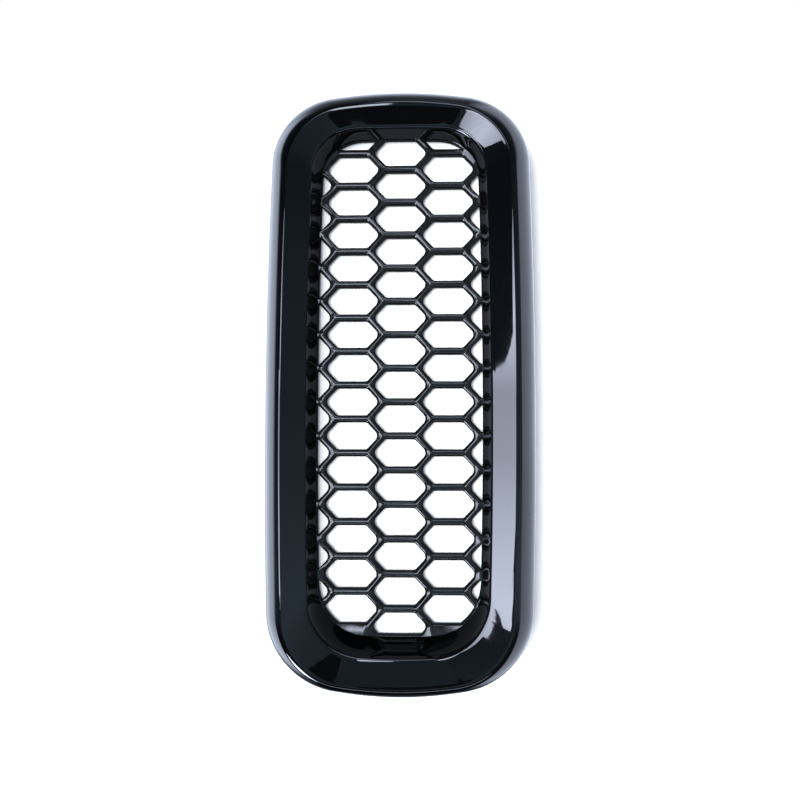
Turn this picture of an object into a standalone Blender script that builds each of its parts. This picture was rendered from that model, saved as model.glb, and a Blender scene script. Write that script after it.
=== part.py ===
"""Front grille insert: a gloss black trim ring, a honeycomb mesh screwed into it from behind,
spring clips that snap it into a panel opening, and foam tape strips on its rear rim.

Upright as fitted: X across, Z up the long side, and the face that shows looks along -Y.
The origin is the centre of the rear rim's plane.
"""

import math
from collections import namedtuple

import bmesh
import bpy
from mathutils import Vector

MM = 0.001

# An outline is a rectangle drawn with arcs: bowed sides, crowned ends and round corners.
# The centre of the sides' bow is at z = 0, so the top and bottom ends may reach differently far.
Outline = namedtuple("Outline", "half_width top bottom corner_top corner_bottom crown_top crown_bottom")


def outline_mm(*sizes):
    return Outline(*(size * MM for size in sizes))


RIM = outline_mm(40.2, 89.4, 89.3, 21.0, 23.0, 140.0, 105.0)  # outermost edge, at the rear
EDGE = outline_mm(35.4, 84.2, 86.6, 20.0, 20.5, 125.0, 125.0)  # where the skirt turns into the face
LIP = outline_mm(26.6, 75.5, 76.7, 13.3, 16.5, 400.0, 150.0)  # inner edge of the face
SEAT = outline_mm(24.9, 75.4, 72.6, 12.6, 15.0, 400.0, 250.0)  # end of the inner wall, on the mesh
WINDOW = outline_mm(24.6, 75.3, 72.1, 12.4, 15.0, 400.0, 250.0)  # the mesh's open area
SIDE_BOW_RADIUS = 2026 * MM

GAP = 0.3 * MM  # between pieces that touch
SKIRT_DEPTH = 11.3 * MM
FACE_OUTER_Y = -12.2 * MM
LIP_Y = -10.3 * MM
LIP_CHAMFER = 0.7 * MM
SEAT_Y = -1.6 * MM
RIM_WIDTH = 3.5 * MM
RIM_DRAFT = 0.2 * MM  # how much wider the rim's section is half way up the skirt
RING_WALL = 2.2 * MM
LIP_WALL = 1.9 * MM
FACE_WALL = 2.9 * MM  # at the face's outer edge, where it is thickest
EDGE_ROUND = 0.9 * MM
EDGE_ROUND_SAG = 0.15  # share of the round's depth that is left half way along it

MESH_FRONT_Y = SEAT_Y + GAP
MESH_THICKNESS = 2.5 * MM
MESH_FLANGE = 3.0 * MM
COLUMN_PITCH = 14.38 * MM
ROW_PITCH = 10.106 * MM
TOP_ROW_Z = 71.45 * MM  # centre of the middle column's first cell
CELL_HALF_HEIGHT = 4.0 * MM
CELL_HALF_FLAT = 4.4 * MM
CELL_HALF_TIP = 8.2 * MM
CELL_TIP_RADIUS = 1.9 * MM
SMALLEST_CELL_AREA = 8e-6  # square metres: a smaller cut cell is left filled

BOSS_INSET = 8.9 * MM  # from the rim's outline to the screws' line
BOSS_RADIUS = 2.6 * MM
BOSS_FRONT_Y = -10.2 * MM
BORE_DEPTH_Y = -8.2 * MM
BORE_RADIUS = 1.4 * MM
EAR_RADIUS = 3.0 * MM
EAR_SEGMENTS = 8
SIDE_BOSS_Z = 58 * MM
END_BOSS_X = 14 * MM
END_CROWN_DROP = 0.8 * MM  # how far the crowned ends fall away at the end bosses

SCREW_SHANK_RADIUS = 1.1 * MM
SCREW_LENGTH = 7.5 * MM
SCREW_HEAD_RADIUS = 2.1 * MM
SCREW_HEAD_HEIGHT = 1.5 * MM
HEAD_SHOULDER = (0.72, 0.86)  # shares of the head's radius and height where its crown turns down
HEAD_SIDE = 0.4  # share of the head's height that is an upright side
SHANK_STRAIGHT = 0.8  # share of the length before the point
SCREW_SIDES = 10

CLIP_INSET = 7.7 * MM  # from the rim's outline to the blades' centre
SIDE_CLIP_Z = 29 * MM
BLADE_THICKNESS = 1.3 * MM
BLADE_WIDTH = 8.0 * MM
BLADE_REAR_Y = 8.9 * MM
CLIP_PIVOT_Y = 9.2 * MM
CLIP_FOLD_RADIUS = 1.25 * MM
CLIP_STEEL = 0.5 * MM
CLIP_WIDTH = 7.0 * MM
CLIP_INNER_LEG = 6.0 * MM
CLIP_PEAK = Vector((4.1 * MM, -4.8 * MM))  # outward and forward from the fold's centre
CLIP_PEAK_ROUND = 0.5 * MM
CLIP_TOE = Vector((2.6 * MM, -7.0 * MM))

TAPE_WIDTH = 2.0 * MM
TAPE_THICKNESS = 0.8 * MM
SIDE_TAPE_HALF_LENGTH = 58 * MM
END_TAPE_HALF_LENGTH = 16 * MM

SIDE_SEGMENTS = 5
CORNER_SEGMENTS = 9
CROWN_SEGMENTS = 4


# ---- outlines ----------------------------------------------------------------------------------


def grown(outline, by):
    """The outline moved outwards everywhere by the same distance."""
    return Outline(*(size + by for size in outline))


def mixed(first, second, share):
    """The outline that lies the given share of the way from the first to the second."""
    return Outline(*(a + (b - a) * share for a, b in zip(first, second)))


def arc(centre, radius, start, end, segments):
    """Points along an arc, without its last one."""
    angles = (start + (end - start) * i / segments for i in range(segments))
    return [centre + radius * Vector((math.cos(a), math.sin(a))) for a in angles]


def quadrant(half_width, height, corner, crown, segments):
    """A quarter of an outline, from the middle of the side to the middle of the end."""
    side_segments, corner_segments, crown_segments = segments
    side_centre = Vector((half_width - SIDE_BOW_RADIUS, 0))
    crown_centre = Vector((0, height - crown))
    between = crown_centre - side_centre
    to_side = SIDE_BOW_RADIUS - corner
    to_crown = crown - corner
    along = (to_side**2 - to_crown**2 + between.length_squared) / (2 * between.length)
    aside = math.sqrt(to_side**2 - along**2)
    direction = between.normalized()
    across = Vector((direction.y, -direction.x))
    meetings = [side_centre + along * direction + sign * aside * across for sign in (1, -1)]
    corner_centre = max(meetings, key=lambda meeting: meeting.y)
    from_side = corner_centre - side_centre
    from_crown = corner_centre - crown_centre
    side_end = math.atan2(from_side.y, from_side.x)
    crown_start = math.atan2(from_crown.y, from_crown.x)
    return (
        arc(side_centre, SIDE_BOW_RADIUS, 0, side_end, side_segments)
        + arc(corner_centre, corner, side_end, crown_start, corner_segments)
        + arc(crown_centre, crown, crown_start, math.pi / 2, crown_segments)
        + [Vector((0, height))]
    )


def outline_points(outline, segments=(SIDE_SEGMENTS, CORNER_SEGMENTS, CROWN_SEGMENTS)):
    """The closed outline as (x, z) points, counter-clockwise seen from the front, from (+x, 0)."""
    half_width, top, bottom, corner_top, corner_bottom, crown_top, crown_bottom = outline
    upper = quadrant(half_width, top, corner_top, crown_top, segments)
    lower = quadrant(half_width, bottom, corner_bottom, crown_bottom, segments)
    upper_left = [Vector((-p.x, p.y)) for p in reversed(upper[:-1])]
    lower_left = [Vector((-p.x, -p.y)) for p in lower[1:]]
    lower_right = [Vector((p.x, -p.y)) for p in reversed(lower[1:-1])]
    return upper + upper_left + lower_left + lower_right


# ---- scene helpers -----------------------------------------------------------------------------


def clear_scene():
    for old in list(bpy.data.objects):
        bpy.data.objects.remove(old)


def new_collection(name, hidden=False):
    collection = bpy.data.collections.new(name)
    bpy.context.scene.collection.children.link(collection)
    collection.hide_render = hidden
    return collection


def principled(name, colour, roughness, metallic=0.0, coat=0.0):
    material = bpy.data.materials.new(name)
    material.use_nodes = True
    shader = material.node_tree.nodes["Principled BSDF"]
    shader.inputs["Base Color"].default_value = (*colour, 1)
    shader.inputs["Roughness"].default_value = roughness
    shader.inputs["Metallic"].default_value = metallic
    shader.inputs["Coat Weight"].default_value = coat
    material.diffuse_color = (*colour, 1)
    return material


def add_object(name, data, collection, material=None):
    made = bpy.data.objects.new(name, data)
    collection.objects.link(made)
    if material:
        data.materials.append(material)
    return made


def helper_object(made, collection):
    """Keeps an object for Booleans only."""
    for holder in list(made.users_collection):
        holder.objects.unlink(made)
    collection.objects.link(made)
    made.hide_render = True
    made.display_type = "WIRE"
    return made


def smooth(mesh, angle=math.radians(30)):
    mesh.shade_smooth()
    mesh.set_sharp_from_angle(angle=angle)


def boolean(target, operation, collection):
    modifier = target.modifiers.new(operation.lower(), "BOOLEAN")
    modifier.operation = operation
    modifier.solver = "EXACT"
    modifier.operand_type = "COLLECTION"
    modifier.collection = collection


def flat_curve(name, splines, thickness, front_y, collection, material):
    """Flat outlines in the XZ plane, filled and given a thickness. Inner outlines make holes."""
    curve = bpy.data.curves.new(name, "CURVE")
    curve.dimensions = "2D"
    curve.fill_mode = "BOTH"
    curve.extrude = thickness / 2
    for points in splines:
        spline = curve.splines.new("POLY")
        spline.points.add(len(points) - 1)
        for target, point in zip(spline.points, points):
            target.co = (point.x, point.y, 0, 1)
        spline.use_cyclic_u = True
    made = add_object(name, curve, collection, material)
    made.rotation_euler.x = math.pi / 2
    made.location.y = front_y + thickness / 2
    return made


# ---- trim ring ---------------------------------------------------------------------------------


def ring_section():
    """The ring's cross-section as (outline, y) stations, once round: skirt, face, inner wall, back."""
    stations = []
    skirt_segments = 5
    for i in range(skirt_segments + 1):
        share = i / skirt_segments
        stations.append((mixed(RIM, EDGE, share * share), -SKIRT_DEPTH * share))
    stations.append((grown(EDGE, -EDGE_ROUND), FACE_OUTER_Y + EDGE_ROUND * EDGE_ROUND_SAG))
    stations.append((grown(EDGE, -2 * EDGE_ROUND), FACE_OUTER_Y))
    stations.append((grown(LIP, LIP_CHAMFER), LIP_Y - LIP_CHAMFER))
    wall_segments = 4
    for i in range(wall_segments + 1):
        share = i / wall_segments
        stations.append((mixed(LIP, SEAT, share**1.5), LIP_Y + (SEAT_Y - LIP_Y) * share))
    stations.append((grown(SEAT, RING_WALL), SEAT_Y))
    stations.append((grown(LIP, LIP_WALL), LIP_Y + LIP_WALL))
    stations.append((grown(EDGE, -RING_WALL), FACE_OUTER_Y + FACE_WALL))
    stations.append((grown(RIM, -RIM_WIDTH - RIM_DRAFT), -SKIRT_DEPTH / 2))
    stations.append((grown(RIM, -RIM_WIDTH), 0.0))
    return stations


def trim_ring_mesh():
    mesh = bpy.data.meshes.new("trim_ring")
    form = bmesh.new()
    loops = []
    for outline, y in ring_section():
        loops.append([form.verts.new((p.x, y, p.y)) for p in outline_points(outline)])
    for loop, following in zip(loops, loops[1:] + loops[:1]):
        for i, start in enumerate(loop):
            j = (i + 1) % len(loop)
            form.faces.new((start, loop[j], following[j], following[i]))
    bmesh.ops.recalc_face_normals(form, faces=form.faces)
    form.to_mesh(mesh)
    form.free()
    smooth(mesh)
    return mesh


def screw_places():
    """Name and (x, z) of each screw, boss and mesh ear."""
    side_x = RIM.half_width - BOSS_INSET
    top_z = RIM.top - BOSS_INSET - END_CROWN_DROP
    bottom_z = -(RIM.bottom - BOSS_INSET - END_CROWN_DROP)
    places = {}
    for side, sign in (("left", -1), ("right", 1)):
        for level, z in (("upper", SIDE_BOSS_Z), ("middle", 0.0), ("lower", -SIDE_BOSS_Z)):
            places[f"{side}_{level}"] = Vector((sign * side_x, z))
        places[f"top_{side}"] = Vector((sign * END_BOSS_X, top_z))
        places[f"bottom_{side}"] = Vector((sign * END_BOSS_X, bottom_z))
    return places


def clip_places():
    """Name, (x, z) of the blade's centre and outward direction of each spring clip."""
    places = {}
    for side, sign in (("left", -1), ("right", 1)):
        for level, z in (("upper", SIDE_CLIP_Z), ("lower", -SIDE_CLIP_Z)):
            x = sign * (RIM.half_width - CLIP_INSET)
            places[f"{side}_{level}"] = (Vector((x, z)), Vector((sign, 0)))
    places["top"] = (Vector((0, RIM.top - CLIP_INSET)), Vector((0, 1)))
    places["bottom"] = (Vector((0, CLIP_INSET - RIM.bottom)), Vector((0, -1)))
    return places


def cylinder_along_y(name, place, radius, front_y, rear_y, sides, collection):
    bpy.ops.mesh.primitive_cylinder_add(
        vertices=sides,
        radius=radius,
        depth=rear_y - front_y,
        location=(place.x, (front_y + rear_y) / 2, place.y),
        rotation=(math.pi / 2, 0, 0),
    )
    bpy.context.object.name = name
    return helper_object(bpy.context.object, collection)


def add_blade(name, place, outward, collection):
    """The upright rib that a spring clip is pushed onto."""
    bpy.ops.mesh.primitive_cube_add(size=1, location=(place.x, (BOSS_FRONT_Y + BLADE_REAR_Y) / 2, place.y))
    blade = bpy.context.object
    blade.name = name
    across = (BLADE_THICKNESS, BLADE_WIDTH) if outward.x else (BLADE_WIDTH, BLADE_THICKNESS)
    blade.scale = (across[0], BLADE_REAR_Y - BOSS_FRONT_Y, across[1])
    return helper_object(blade, collection)


def add_trim_ring(parts, additions, bores, material):
    ring = add_object("trim_ring", trim_ring_mesh(), parts, material)
    for name, place in screw_places().items():
        cylinder_along_y(f"boss_{name}", place, BOSS_RADIUS, BOSS_FRONT_Y, SEAT_Y, 14, additions)
        cylinder_along_y(f"bore_{name}", place, BORE_RADIUS, BORE_DEPTH_Y, 0.0, 10, bores)
    for name, (place, outward) in clip_places().items():
        add_blade(f"blade_{name}", place, outward, additions)
    boolean(ring, "UNION", additions)
    boolean(ring, "DIFFERENCE", bores)


# ---- honeycomb mesh ----------------------------------------------------------------------------


def rounded(corners, radii, segments):
    """A convex polygon with each corner replaced by an arc of its own radius."""
    points = []
    for i, (corner, radius) in enumerate(zip(corners, radii)):
        if radius == 0:
            points.append(corner)
            continue
        into = (corners[i - 1] - corner).normalized()
        out = (corners[(i + 1) % len(corners)] - corner).normalized()
        half_angle = into.angle(out) / 2
        centre = corner + (into + out).normalized() * radius / math.sin(half_angle)
        start = corner + into * radius / math.tan(half_angle) - centre
        end = corner + out * radius / math.tan(half_angle) - centre
        turn = start.angle_signed(end)
        for k in range(segments + 1):
            angle = -turn * k / segments
            cos, sin = math.cos(angle), math.sin(angle)
            points.append(centre + Vector((start.x * cos - start.y * sin, start.x * sin + start.y * cos)))
    return points


def cell_outline():
    """One cell round the origin: flat top and bottom, rounded points to the left and right."""
    tip, flat, height = CELL_HALF_TIP, CELL_HALF_FLAT, CELL_HALF_HEIGHT
    corners = [(tip, 0), (flat, height), (-flat, height), (-tip, 0), (-flat, -height), (flat, -height)]
    radii = [CELL_TIP_RADIUS, 0, 0] * 2
    return rounded([Vector(c) for c in corners], radii, 2)


def clipped(points, border):
    """The part of a convex polygon inside a convex, counter-clockwise border."""
    for start, end in zip(border, border[1:] + border[:1]):
        edge = end - start
        kept = []
        sides = [edge.cross(p - start) for p in points]
        for i, point in enumerate(points):
            before, here = sides[i - 1], sides[i]
            if (before > 0) != (here > 0):
                kept.append(points[i - 1].lerp(point, before / (before - here)))
            if here > 0:
                kept.append(point)
        points = kept
        if not points:
            break
    return points


def without_near_points(points, distance=0.05 * MM):
    return [p for i, p in enumerate(points) if (p - points[i - 1]).length > distance]


def area(points):
    return sum(a.cross(b) for a, b in zip(points, points[1:] + points[:1])) / 2


def cell_centres():
    """Every lattice place that can reach the window: odd columns sit half a row lower."""
    columns = math.ceil(WINDOW.half_width / COLUMN_PITCH)
    rows = math.ceil((WINDOW.top + WINDOW.bottom) / ROW_PITCH)
    for column in range(-columns, columns + 1):
        for row in range(-1, rows + 1):
            lowered = row + (column % 2) / 2
            yield Vector((column * COLUMN_PITCH, TOP_ROW_Z - lowered * ROW_PITCH))


def mesh_cells():
    border = outline_points(WINDOW, (3, 8, 3))
    cells = []
    for centre in cell_centres():
        cell = without_near_points(clipped([p + centre for p in cell_outline()], border))
        if len(cell) > 2 and area(cell) > SMALLEST_CELL_AREA:
            cells.append(cell)
    return cells


def ear_directions():
    """For each screw's ear: the screw's place, the way out from the window, and the way across."""
    for name, place in screw_places().items():
        at_end = name.startswith(("top", "bottom"))
        outward = Vector((0, math.copysign(1, place.y))) if at_end else Vector((math.copysign(1, place.x), 0))
        yield place, outward, Vector((-outward.y, outward.x))


def with_ears(border):
    """The flange's outline with a round-ended tab where each screw goes through it."""
    ears = list(ear_directions())
    points = []
    done = set()
    for point in border:
        for index, (place, outward, across) in enumerate(ears):
            offset = point - place
            if abs(offset.dot(across)) < EAR_RADIUS and abs(offset.dot(outward)) < 3 * EAR_RADIUS:
                if index not in done:
                    done.add(index)
                    neck = point.dot(outward) * outward + place.dot(across) * across
                    start = math.atan2(-across.y, -across.x)
                    points.append(neck - across * EAR_RADIUS)
                    points += arc(place, EAR_RADIUS, start, start + math.pi, EAR_SEGMENTS)
                    points += [place + across * EAR_RADIUS, neck + across * EAR_RADIUS]
                break
        else:
            points.append(point)
    return points


def add_honeycomb_mesh(parts, material):
    flange = with_ears(outline_points(grown(WINDOW, MESH_FLANGE), (16, CORNER_SEGMENTS, 8)))
    splines = [flange, *mesh_cells()]
    for place in screw_places().values():
        splines.append(arc(place, BORE_RADIUS, 0, 2 * math.pi, 10))
    flat_curve("honeycomb_mesh", splines, MESH_THICKNESS, MESH_FRONT_Y, parts, material)


# ---- screws ------------------------------------------------------------------------------------


def screw_profile():
    """Half of a pan head screw as (radius, height), down the outside from the head's crown to the tip."""
    head, shank = SCREW_HEAD_RADIUS, SCREW_SHANK_RADIUS
    return [
        (0, SCREW_HEAD_HEIGHT),
        (head * HEAD_SHOULDER[0], SCREW_HEAD_HEIGHT * HEAD_SHOULDER[1]),
        (head, SCREW_HEAD_HEIGHT * HEAD_SIDE),
        (head, 0),
        (shank, 0),
        (shank, -SCREW_LENGTH * SHANK_STRAIGHT),
        (0, -SCREW_LENGTH),
    ]


def screw_mesh(material):
    mesh = bpy.data.meshes.new("mesh_screw")
    profile = [(radius, 0, height) for radius, height in screw_profile()]
    mesh.from_pydata(profile, [(i, i + 1) for i in range(len(profile) - 1)], [])
    mesh.materials.append(material)
    return mesh


def add_screws(parts, material):
    mesh = screw_mesh(material)
    head_seat_y = MESH_FRONT_Y + MESH_THICKNESS + GAP
    for name, place in screw_places().items():
        screw = bpy.data.objects.new(f"mesh_screw_{name}", mesh)
        parts.objects.link(screw)
        screw.location = (place.x, head_seat_y, place.y)
        screw.rotation_euler.x = -math.pi / 2
        turn = screw.modifiers.new("turned", "SCREW")
        turn.steps = SCREW_SIDES
        turn.render_steps = SCREW_SIDES
        turn.use_merge_vertices = True
        turn.merge_threshold = 0.01 * MM
        turn.use_smooth_shade = True


# ---- spring clips ------------------------------------------------------------------------------


def clip_path():
    """The middle of the bent strip as (outward, y) from the fold's centre, toe to inner leg."""
    fold = arc(Vector((0, 0)), CLIP_FOLD_RADIUS, 0, math.pi, 6)
    rise = (CLIP_PEAK - Vector((CLIP_FOLD_RADIUS, 0))).normalized()
    fall = (CLIP_TOE - CLIP_PEAK).normalized()
    return [
        CLIP_TOE,
        CLIP_PEAK + fall * CLIP_PEAK_ROUND,
        CLIP_PEAK - rise * CLIP_PEAK_ROUND,
        *fold,
        Vector((-CLIP_FOLD_RADIUS, 0)),
        Vector((-CLIP_FOLD_RADIUS, -CLIP_INNER_LEG)),
    ]


def clip_mesh(material):
    """An open ribbon along the path: local X outward, Y rearward and Z across the strip."""
    mesh = bpy.data.meshes.new("spring_clip")
    form = bmesh.new()
    edges = (-CLIP_WIDTH / 2, CLIP_WIDTH / 2)
    rows = [[form.verts.new((p.x, p.y, z)) for z in edges] for p in clip_path()]
    for row, following in zip(rows, rows[1:]):
        form.faces.new((row[0], row[1], following[1], following[0]))
    form.to_mesh(mesh)
    form.free()
    mesh.materials.append(material)
    return mesh


def add_clips(parts, material):
    mesh = clip_mesh(material)
    for name, (place, outward) in clip_places().items():
        clip = bpy.data.objects.new(f"spring_clip_{name}", mesh)
        parts.objects.link(clip)
        clip.location = (place.x, CLIP_PIVOT_Y, place.y)
        clip.rotation_euler.y = math.atan2(-outward.y, outward.x)
        strip = clip.modifiers.new("strip", "SOLIDIFY")
        strip.thickness = CLIP_STEEL
        strip.offset = 0
        strip.use_even_offset = True


# ---- foam tape ---------------------------------------------------------------------------------


def kept_run(points, keep):
    """The one unbroken run of a closed outline's points that the test keeps."""
    outside = next(i for i, p in enumerate(points) if not keep(p))
    return [p for p in points[outside:] + points[:outside] if keep(p)]


def add_tapes(parts, material):
    middle = grown(RIM, -RIM_WIDTH / 2)
    segments = (12, CORNER_SEGMENTS, 8)
    outer = outline_points(grown(middle, TAPE_WIDTH / 2), segments)
    inner = outline_points(grown(middle, -TAPE_WIDTH / 2), segments)
    stretches = {
        "tape_right": lambda p: p.x > 0 and abs(p.y) < SIDE_TAPE_HALF_LENGTH,
        "tape_left": lambda p: p.x < 0 and abs(p.y) < SIDE_TAPE_HALF_LENGTH,
        "tape_top": lambda p: p.y > 0 and abs(p.x) < END_TAPE_HALF_LENGTH,
        "tape_bottom": lambda p: p.y < 0 and abs(p.x) < END_TAPE_HALF_LENGTH,
    }
    for name, keep in stretches.items():
        band = kept_run(outer, keep) + kept_run(inner, keep)[::-1]
        flat_curve(name, [band], TAPE_THICKNESS, GAP, parts, material)


def main():
    clear_scene()
    parts = new_collection("front_grille")
    additions = new_collection("ring_additions", hidden=True)
    bores = new_collection("ring_bores", hidden=True)
    gloss_black = principled("gloss_black_paint", (0.006, 0.006, 0.008), 0.06, coat=1.0)
    zinc_steel = principled("zinc_steel", (0.62, 0.62, 0.6), 0.35, metallic=1.0)
    spring_steel = principled("spring_steel", (0.23, 0.24, 0.26), 0.4, metallic=1.0)
    foam = principled("foam_tape", (0.02, 0.02, 0.022), 0.9)
    add_trim_ring(parts, additions, bores, gloss_black)
    add_honeycomb_mesh(parts, gloss_black)
    add_screws(parts, zinc_steel)
    add_clips(parts, spring_steel)
    add_tapes(parts, foam)


main()
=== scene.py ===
import math
from collections import namedtuple
from itertools import accumulate

import bmesh
import bpy
from mathutils import Matrix, Vector, noise
from mathutils.geometry import delaunay_2d_cdt


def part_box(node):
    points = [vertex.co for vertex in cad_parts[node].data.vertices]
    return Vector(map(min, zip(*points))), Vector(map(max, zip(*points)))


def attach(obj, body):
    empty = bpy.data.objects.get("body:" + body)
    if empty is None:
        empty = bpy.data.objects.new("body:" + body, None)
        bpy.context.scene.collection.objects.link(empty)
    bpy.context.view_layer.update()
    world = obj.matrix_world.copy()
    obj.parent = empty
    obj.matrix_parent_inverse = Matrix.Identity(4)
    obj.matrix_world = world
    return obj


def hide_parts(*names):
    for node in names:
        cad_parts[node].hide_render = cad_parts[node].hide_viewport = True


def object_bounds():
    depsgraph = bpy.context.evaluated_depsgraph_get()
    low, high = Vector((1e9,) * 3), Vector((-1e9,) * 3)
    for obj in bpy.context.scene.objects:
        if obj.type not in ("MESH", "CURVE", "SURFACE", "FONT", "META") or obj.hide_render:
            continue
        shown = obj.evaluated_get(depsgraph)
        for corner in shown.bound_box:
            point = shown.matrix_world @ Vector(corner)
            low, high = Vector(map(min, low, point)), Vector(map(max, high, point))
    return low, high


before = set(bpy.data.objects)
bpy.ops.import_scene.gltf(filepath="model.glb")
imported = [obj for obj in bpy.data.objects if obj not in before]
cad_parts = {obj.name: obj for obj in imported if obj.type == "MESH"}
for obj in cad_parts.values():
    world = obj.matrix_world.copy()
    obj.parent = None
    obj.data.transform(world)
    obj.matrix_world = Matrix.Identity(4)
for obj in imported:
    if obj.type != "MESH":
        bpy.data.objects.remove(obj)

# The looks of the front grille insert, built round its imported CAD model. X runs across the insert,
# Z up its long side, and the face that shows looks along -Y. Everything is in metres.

MM = 0.001
BODY = "insert"
CAD_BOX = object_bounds()
RING_LOW, RING_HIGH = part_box("trim_ring")

# An outline is a rectangle drawn with arcs: bowed sides, crowned ends and round corners.
Outline = namedtuple("Outline", "half_width top bottom corner_top corner_bottom crown_top crown_bottom")


def outline_mm(*sizes):
    return Outline(*(size * MM for size in sizes))


RIM = outline_mm(0, 0, 0, 21.0, 23.0, 140.0, 105.0)._replace(
    half_width=RING_HIGH.x, top=RING_HIGH.z, bottom=-RING_LOW.z
)
EDGE = outline_mm(35.4, 84.2, 86.6, 20.0, 20.5, 125.0, 125.0)
LIP = outline_mm(26.6, 75.5, 76.7, 13.3, 16.5, 400.0, 150.0)
SEAT = outline_mm(24.9, 75.4, 72.6, 12.6, 15.0, 400.0, 250.0)
WINDOW = outline_mm(24.6, 75.3, 72.1, 12.4, 15.0, 400.0, 250.0)
SIDE_BOW_RADIUS = 2026 * MM
FINE = (20, 36, 16)  # segments along a quarter's side, corner and crown

SKIRT_DEPTH = 11.3 * MM
FACE_OUTER_Y = -12.2 * MM
EDGE_ROUND = 0.9 * MM
LIP_Y = -10.3 * MM
LIP_CHAMFER = 0.7 * MM
SEAT_Y = -1.6 * MM
RING_WALL = 2.2 * MM
RIM_WIDTH = 3.5 * MM
RIM_ROUND = 0.3 * MM
RIM_DRAFT = 0.2 * MM
LIP_BACKING = 1.9 * MM  # from the lip to the moulding's back, and from the face's outer edge
EDGE_BACKING = 2.9 * MM
SKIRT_CURVE = 2  # the powers by which the skirt and the inner wall move in along their depth
WALL_CURVE = 1.5
ROUNDING = 1.1  # fullness of the rounded edge and lip
SKIRT_STEPS, EDGE_STEPS, FACE_STEPS, LIP_STEPS, WALL_STEPS = 14, 8, 10, 6, 16

SMOOTH_ANGLE = 35  # degrees: a sharper edge is shaded sharp
WELD = 0.002 * MM

MESH_LOW, MESH_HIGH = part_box("honeycomb_mesh")
MESH_FRONT_Y = MESH_LOW.y
MESH_REAR_Y = MESH_HIGH.y
MESH_FLANGE = 3.0 * MM
EAR_RADIUS = 3.0 * MM
BORE_RADIUS = 1.4 * MM
COLUMN_PITCH = 14.38 * MM
ROW_PITCH = 10.106 * MM
TOP_ROW_Z = 71.45 * MM
CELL_HALF_HEIGHT = 4.0 * MM
CELL_HALF_FLAT = 4.4 * MM
CELL_HALF_TIP = 8.2 * MM
CELL_TIP_RADIUS = 1.9 * MM
CELL_CORNER_RADIUS = 1.0 * MM
CELL_CORNER_STEPS = 6
JUNCTION_REACH = 5.05 * MM  # from a level rib's middle to the junction at its end
SMALLEST_CELL_AREA = 3e-6  # square metres
RIB_RADIUS = 1.03 * MM
RIB_CROWN_ANGLE = 28  # degrees off the front, where the crown's fill meets the cells' shoulders
RIB_SHOULDER_STEPS = 6
REAR_CHAMFER = 0.15 * MM
MITRE_LIMIT = 0.75
NEAR_POINTS = 0.02 * MM
COARSE = (6, 12, 6)
FLANGE_SEGMENTS = (24, 24, 16)
EAR_STEPS = 20
BORE_SIDES = 24

BOSS_RADIUS = 2.6 * MM
BOSS_FRONT_Y = -9.6 * MM
BOSS_REAR_Y = -1.6 * MM
BORE_DEPTH_Y = -8.2 * MM
GUSSET_THICKNESS = 0.8 * MM
GUSSET_OVERLAP = 0.2 * MM  # how far a gusset runs into what it props
GUSSET = [  # a boss's: reach and Y
    (0, BOSS_FRONT_Y), (1.6 * MM, BOSS_FRONT_Y), (1.12 * MM, -5.1 * MM), (0.3 * MM, -3.1 * MM),
    (0, -3.1 * MM),
]
BOSS_SIDES = 40
BOSS_FOOT = 1.2 * MM
BOSS_LEAD_IN = 0.3 * MM
BOSS_ROUND = 0.25 * MM
BOSS_FLARE = 0.25 * MM
BLADE_THICKNESS = 1.3 * MM
BLADE_WIDTH = 8.0 * MM
BLADE_REAR_Y = 8.9 * MM
BLADE_TIP = (0.9 * MM, 0.35 * MM)  # how far its chamfer runs down, and in from each side
BLADE_FOOT = (1.5 * MM, 0.2 * MM)  # how far its flare runs up, and out on each side
BLADE_GUSSET = [(2.6 * MM, BOSS_FRONT_Y), (1.6 * MM, -6.0 * MM)]  # its outer corners: reach and Y
BLADE_GUSSET_REAR_Y = -1.5 * MM
CLIP_INSET = 7.7 * MM  # from the rim's outline to the blades' centre

HEAD_HEIGHT = 1.5 * MM
SHANK_RADIUS = 1.1 * MM
THREAD_DEPTH = 0.22 * MM
THREAD_PITCH = 0.8 * MM
THREAD_START = 0.6 * MM
THREAD_FADE = 0.8 * MM
THREAD_SHARPNESS = 3.2
POINT_SHARE = 0.22  # of the shank's length
SMALLEST_RADIUS = 0.02 * MM
HEAD_PROFILE = [  # millimetres: radius, and how far under the top
    (0.02, 0), (0.9, 0.03), (1.45, 0.16), (1.85, 0.42), (2.05, 0.8), (2.1, 1.2), (2.05, 1.5)
]
SCREW_SIDES = 36
SHANK_STEPS = 84
RECESS_DEPTH = 0.9 * MM
RECESS_TOP = (1.45 * MM, 0.26 * MM)  # half length and half width of the cross's arms
RECESS_FLOOR = (0.55 * MM, 0.2 * MM)
RECESS_CLEARANCE = 0.3 * MM
SCREW_TURN = 90  # radians per metre of height, so that the crosses differ

FOLD_RADIUS = 1.25 * MM
CLIP_STEEL = 0.5 * MM
CLIP_WIDTH = 7.0 * MM
CLIP_PIVOT_Y = 9.2 * MM
CLIP_INNER_LEG = 6.0 * MM
CLIP_PEAK = Vector((4.1, -4.8)) * MM  # outward and forward from the fold's centre
CLIP_TOE = Vector((2.6, -7.0)) * MM
CLIP_BEND_RADIUS = 0.7 * MM
CLIP_BEND_STEPS = 5
CLIP_STATIONS = [-1, -0.86, -0.66, -0.4, -0.36, 0, 0.36, 0.4, 0.66, 0.86, 1]  # across its half width
CLIP_STEP = 0.8 * MM
CLIP_FOLD_STEPS = 14
CLIP_LEG_STEPS = 8
CLIP_SLOT = (3.6 * MM, 7.6 * MM)  # along the strip from its toe
CLIP_SLOT_BANDS = (3, 6)  # the first and last band between stations
CLIP_END_LENGTH = 1.0 * MM
CLIP_END_TAPER = 0.16
CLIP_EDGE = 0.07 * MM
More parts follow.
